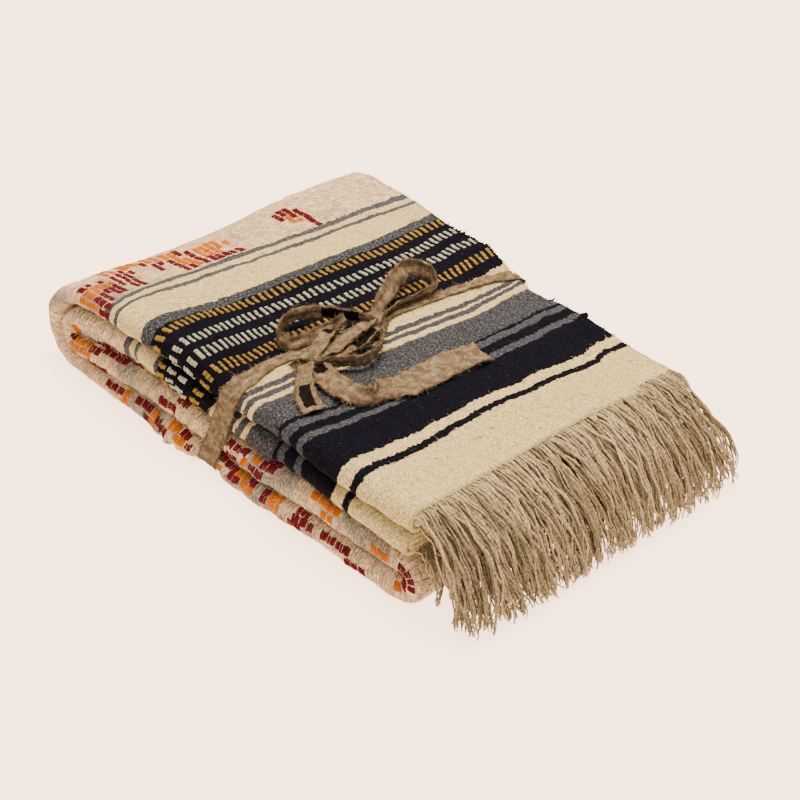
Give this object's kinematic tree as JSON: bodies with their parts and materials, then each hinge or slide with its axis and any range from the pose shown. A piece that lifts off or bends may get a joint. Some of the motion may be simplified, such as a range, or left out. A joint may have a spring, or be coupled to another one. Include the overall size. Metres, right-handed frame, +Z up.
{
  "type": "folded wool throw blanket tied with a ribbon",
  "caption": "Striped, fringed wool throw folded into a thick rectangular pack and tied round with a frayed linen ribbon in a bow.",
  "frame": {"origin": "middle of the underside of the whole thing, on the surface it lies on", "axes": "+X along the pack's length towards the fringed end, +Y across it towards the far side with the free selvedges, +Z up through the layers"},
  "size_m": [0.5754, 0.3398, 0.127],
  "materials": {
    "wool_cloth": "matte woven wool",
    "fringe_yarn": "matte twisted yarn",
    "linen_ribbon": "matte raw linen"
  },
  "bodies": {
    "root": {"blanket": "wool_cloth", "fringe_upper": "fringe_yarn", "fringe_lower": "fringe_yarn", "ribbon_tie": "linen_ribbon"}
  },
  "joints": []
}
